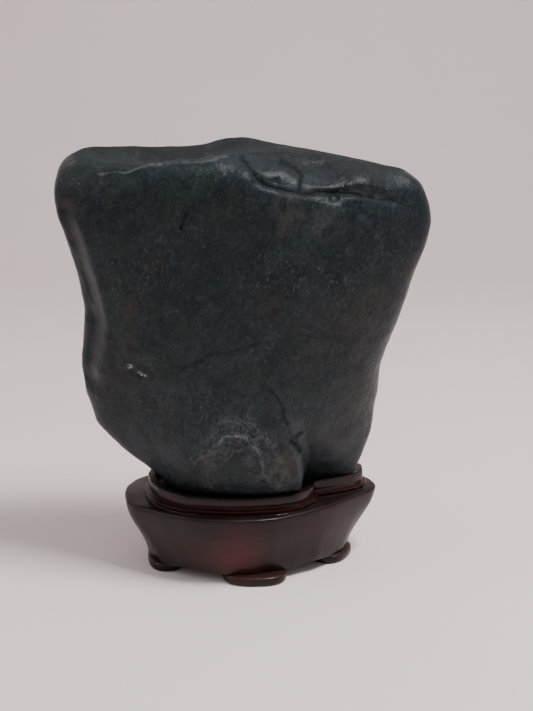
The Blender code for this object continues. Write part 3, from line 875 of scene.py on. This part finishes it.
def stained_and_shaded(stone, colour, patch):
    """The colour with the stains and the painted shade soaked in, unevenly."""
    for centre, reach, share, tint_colour in STAINS_AND_SHADE:
        tint_share = stone.zone(centre, reach) * (0.25 + 0.75 * patch.step(0.36, 0.60))
        colour = stone.blend(tint_share * share, colour, tint_colour)
    return colour


def speckled(stone, colour, patch, streak, grit, dust):
    """The colour with dark and light blotches, streaks along the stone's bed, and grit."""
    streaky = 0.30 * stone.grain(24, 3, 0.6).step(0.40, 0.62)
    for share, tone in (
        (patch.step(0.52, 0.34) * 0.55, (0.0075, 0.0120, 0.0150)),
        (patch.step(0.54, 0.72) * 0.45, (0.0500, 0.0620, 0.0680)),
        (streak.step(0.49, 0.30) * (0.12 + streaky), (0.0070, 0.0110, 0.0130)),
        (streak.step(0.54, 0.78) * (0.04 + streaky), (0.0720, 0.0840, 0.0900)),
        (grit.step(0.50, 0.28) * 0.75, (0.0060, 0.0095, 0.0115)),
        (grit.step(0.52, 0.76) * 0.5, (0.0760, 0.0860, 0.0900)),
        (dust.step(0.56, 0.80) * 0.35, (0.1000, 0.1100, 0.1150)),
    ):
        colour = stone.blend(share, colour, tone)
    return colour


def scratches(stone, patch):
    """Short slanting scratches: 1 on a scratch and 0 beside it."""
    cluster = 0.35 * stone.grain(14, 3).step(0.46, 0.64) + stone.zones(SCRATCHED)
    scored = stone.grain(0.85, 2, 0.45, (0.7, 1, 3.6), LEAN).step(0.63, 0.70)
    return scored * (cluster * (0.2 + patch)).most(1.0)


def flecks(stone, patch, dust):
    """Flecks of quartz: 1 on a fleck and 0 beside it."""
    near, kind = stone.cells(4.2)
    return (near + 0.9 * dust - 0.2 * patch).step(0.48, 0.32) * kind.step(0.93, 0.96)


def chipped(stone):
    """1 where the broken chip shows the fresh, light stone inside."""
    torn = stone.grain(2.6, 4, 0.8, (1.5, 1, 0.8), CHIP_LEAN)
    return (stone.zones(CHIP) * torn.step(0.40, 0.62)).step(0.20, 0.45)


def stone_finish():
    """Dark, blue-green river stone: waxed smooth, with pale scratches, flecks and veins."""
    stone = Finish("river_stone", Specular_IOR_Level=0.16)
    mottle = stone.grain(12, 5, 0.62, (0.9, 1, 1.2), LEAN)
    patch = stone.grain(5.5, 5, 0.68, (0.9, 1, 1.15), LEAN)
    streak = stone.grain(2.1, 3, 0.65, (0.7, 1, 2.3), LEAN)
    grit = stone.grain(1.9, 3, 0.75)
    dust = stone.grain(0.75, 2, 0.7)

    colour = stained_and_shaded(stone, ground_colour(stone, mottle), patch)
    crystal = stone.mark("arches").step(0.0, 0.9) * (patch * 0.6 + grit * 0.7).step(0.55, 0.82)
    colour = stone.blend(crystal * 0.7, colour, ARCH_CRYSTAL)
    colour = speckled(stone, colour, patch, streak, grit, dust)
    scratch = scratches(stone, patch)
    pale = (0.85 * scratch + 0.7 * flecks(stone, patch, dust)).most(1.0)
    colour = stone.blend(pale, colour, QUARTZ)

    # Crests and cracks are thin lines that come and go, and the stone beside a crack is dull. The
    # pale crests are painted highlights.
    broken = stone.grain(4, 4, 0.75)
    away, strength = stone.line("crests")
    crest = (away + 1.6 * (grit - 0.5)).step(0.85, 0.15) * strength * broken.step(0.36, 0.60)
    colour = stone.blend(crest * 0.55, colour, RIDGE_HIGHLIGHT)
    away, strength = stone.line("cracks")
    crack = (away + 1.8 * (broken - 0.5)).step(0.60, 0.15) * strength * broken.step(0.62, 0.5)
    beside = (away + 1.4 * (patch - 0.5)).step(2.7, 0.9) * strength
    colour = stone.blend(beside * 0.22, colour, CRACK_SIDE)
    colour = stone.blend(crack * 0.95, colour, CRACK)
    colour = stone.blend(chipped(stone) * 0.75, colour, FRESH_STONE)
    colour = stone.blend(WAX_DARKENING, colour, BLACK)

    dull = 0.16 * pale + 0.40 * stone.upward().step(0.86, 0.98) + 0.45 * beside
    roughness = 0.20 + 0.10 * mottle + 0.20 * grit + dull
    relief = 0.30 * mottle + 0.50 * patch + 0.14 * streak + 0.36 * grit + 0.10 * dust
    relief = relief - 0.20 * scratch - 0.70 * crack + 0.20 * crest + 0.30 * crystal
    return stone.finish(colour, roughness, relief, 0.9)


# ---- The stand's and the floor's finish --------------------------------------

LACQUER_DARK = (0.0060, 0.0016, 0.0014)
LACQUER_BROWN = (0.0200, 0.0048, 0.0042)
HAZE = (0.0240, 0.0150, 0.0125)
GLOW_RED = (0.1050, 0.0120, 0.0130)
# Painted shade in the moulding's groove and cove.
SHADED_MOULDING_RED = (0.0300, 0.0022, 0.0018)
LIGHTER_TAN_WALL = (0.0220, 0.0125, 0.0095)
OPEN_PORE = (0.0040, 0.0012, 0.0010)
# Painted highlight on the tops of the feet.
FOOT_TOP_HIGHLIGHT = (0.0600, 0.0200, 0.0180)
# Dust, with a painted sheen on upward faces.
DUST_AND_TOP_SHEEN = (0.0300, 0.0200, 0.0170)
AGE_DARKENING = 0.38
# Where the lacquer is thin enough to glow: centre and reach of its heart, and of the spread
# round it.
GLOW_HEART = ((-1, -42, 21), (22, 34, 22))
GLOW_SPREAD = ((-14, -40, 14), (32, 34, 18))
# Heights that bound the moulding below and above, the wall over it, and the tops of the feet.
MOULDING_FOOT = (40.9, 41.4)
MOULDING_TOP = (46.7, 46.3)
WALL_FOOT = (46.6, 47.4)
FEET_TOP = (6.2, 5.6)


def lacquer_finish():
    """Old dark-red lacquer over hardwood: thin and glowing at the front, hazed where handled."""
    lacquer = Finish("old_lacquer", Specular_IOR_Level=0.2, Coat_Roughness=0.14, Coat_IOR=1.4)
    height = lacquer.part(lacquer.place, 2)
    up = lacquer.upward()
    grain = lacquer.grain(3.0, 5, 0.65, (9, 2.2, 0.5))
    cloud = lacquer.grain(22, 3, 0.55)
    pore = lacquer.grain(1.1, 3, 0.65, (3, 1, 0.6))
    speck = lacquer.grain(1.6, 4, 0.75)

    colour = lacquer.blend(grain.step(0.3, 0.72), LACQUER_DARK, LACQUER_BROWN)
    haze = cloud.step(0.35, 0.72) * (0.4 + 0.6 * grain)
    colour = lacquer.blend(haze * 0.5, colour, HAZE)
    glow = lacquer.zone(*GLOW_HEART) + 0.4 * lacquer.zone(*GLOW_SPREAD)
    glow = glow * (0.45 + 0.35 * grain.step(0.30, 0.70) + 0.35 * speck.step(0.35, 0.65))
    colour = lacquer.blend((glow * 0.75).most(1.0), colour, GLOW_RED)

    # The moulding's groove and cove are painted deep red as painted shade, and the wall above them
    # is a lighter tan.
    moulding = height.step(*MOULDING_FOOT) * height.step(*MOULDING_TOP)
    colour = lacquer.blend(moulding * 0.8, colour, SHADED_MOULDING_RED)
    colour = lacquer.blend(height.step(*WALL_FOOT) * (0.25 + 0.4 * grain), colour, LIGHTER_TAN_WALL)
    colour = lacquer.blend(pore.step(0.45, 0.25) * 0.6, colour, OPEN_PORE)

    # Painted highlight on the upward tops of the feet.
    foot_top_highlight = height.step(*FEET_TOP) * up.step(0.1, 0.6)
    colour = lacquer.blend(foot_top_highlight * 0.7, colour, FOOT_TOP_HIGHLIGHT)
    # Lighter on upward faces: dust, with a painted sheen of the light from above.
    dust = up.step(0.55, 0.95) * (0.35 + 0.65 * cloud.step(0.3, 0.7))
    colour = lacquer.blend(dust * 0.45, colour, DUST_AND_TOP_SHEEN)
    colour = lacquer.blend(AGE_DARKENING, colour, BLACK)
    roughness = 0.28 + 0.10 * cloud + 0.08 * grain + 0.16 * dust - 0.06 * moulding
    coat = 0.22 - 0.16 * dust - 0.10 * haze
    relief = 0.14 * grain + 0.20 * cloud + 0.05 * pore
    return lacquer.finish(colour, roughness, relief, 0.5, Coat_Weight=coat)


def floor_finish():
    """Plain pale paper."""
    paper = Finish("pale_floor", Specular_IOR_Level=0.2)
    soft = paper.grain(130, 3, 0.5)
    colour = paper.blend(soft, (0.88, 0.75, 0.735), (0.91, 0.78, 0.765))
    return paper.finish(colour, 0.75 + 0.1 * soft, 0.2 * soft, 0.1)


# ---- The studio --------------------------------------------------------------

LOOK_AT = Vector((0.0129, 0, 0.1214))
CAMERA_DISTANCE = 0.672
CAMERA_PITCH = math.radians(14.5)
CAMERA_LENS = 60.76
CAMERA_CLIP = 0.01
# The floor, and the bend where it sweeps up behind the stone.
FLOOR_SIDE = 3000
FLOOR_FRONT = -3000
SWEEP_START = 850
SWEEP_RADIUS = 600
SWEEP_HEIGHT = 2400
SWEEP_STEPS = 24
ROOM_COLOUR = (0.97, 0.97, 1.0, 1)
ROOM_STRENGTH = 0.52
# Soft boxes: name, place, side and power.
SOFT_BOXES = [
    ("overhead_box", (0.45, -0.24, 1.17), 0.36, 18),
    ("left_box", (-1.3, -0.35, 0.9), 0.8, 4),
]


def make_floor():
    """A pale sheet that sweeps up behind the stone."""
    turns = np.linspace(0, math.pi / 2, SWEEP_STEPS)
    bend_y = SWEEP_START + SWEEP_RADIUS * np.sin(turns)
    bend_z = SWEEP_RADIUS * (1 - np.cos(turns))
    line = [(FLOOR_FRONT, 0), *zip(bend_y, bend_z), (SWEEP_START + SWEEP_RADIUS, SWEEP_HEIGHT)]
    points = [(x, y, z) for y, z in line for x in (-FLOOR_SIDE, FLOOR_SIDE)]
    faces = [[2 * i, 2 * i + 1, 2 * i + 3, 2 * i + 2] for i in range(len(line) - 1)]
    floor = object_of("floor", points, faces)
    floor.data.materials.append(floor_finish())
    floor.data.shade_smooth()


def make_light(name, place, side, power):
    """A square soft box that points at the stone."""
    light = bpy.data.lights.new(name, "AREA")
    light.size = side
    light.energy = power
    holder = bpy.data.objects.new(name, light)
    holder.location = place
    holder.rotation_euler = (LOOK_AT - Vector(place)).to_track_quat("-Z", "Y").to_euler()
    bpy.context.scene.collection.objects.link(holder)


def make_room():
    """Even light from all round."""
    world = bpy.data.worlds.new("room")
    world.use_nodes = True
    background = world.node_tree.nodes["Background"]
    background.inputs["Color"].default_value = ROOM_COLOUR
    background.inputs["Strength"].default_value = ROOM_STRENGTH
    bpy.context.scene.world = world


def make_camera():
    """The camera in front of the stone, looking down a little."""
    camera = bpy.data.cameras.new("camera")
    camera.lens = CAMERA_LENS
    camera.clip_start = CAMERA_CLIP
    holder = bpy.data.objects.new("camera", camera)
    back = Vector((0, -math.cos(CAMERA_PITCH), math.sin(CAMERA_PITCH)))
    holder.location = LOOK_AT + CAMERA_DISTANCE * back
    holder.rotation_euler = (-back).to_track_quat("-Z", "Y").to_euler()
    bpy.context.scene.collection.objects.link(holder)
    bpy.context.scene.camera = holder


make_camera()
make_floor()
for soft_box in SOFT_BOXES:
    make_light(*soft_box)
make_room()
make_stone(stone_finish())
make_stand(lacquer_finish())

bpy.context.view_layer.update()
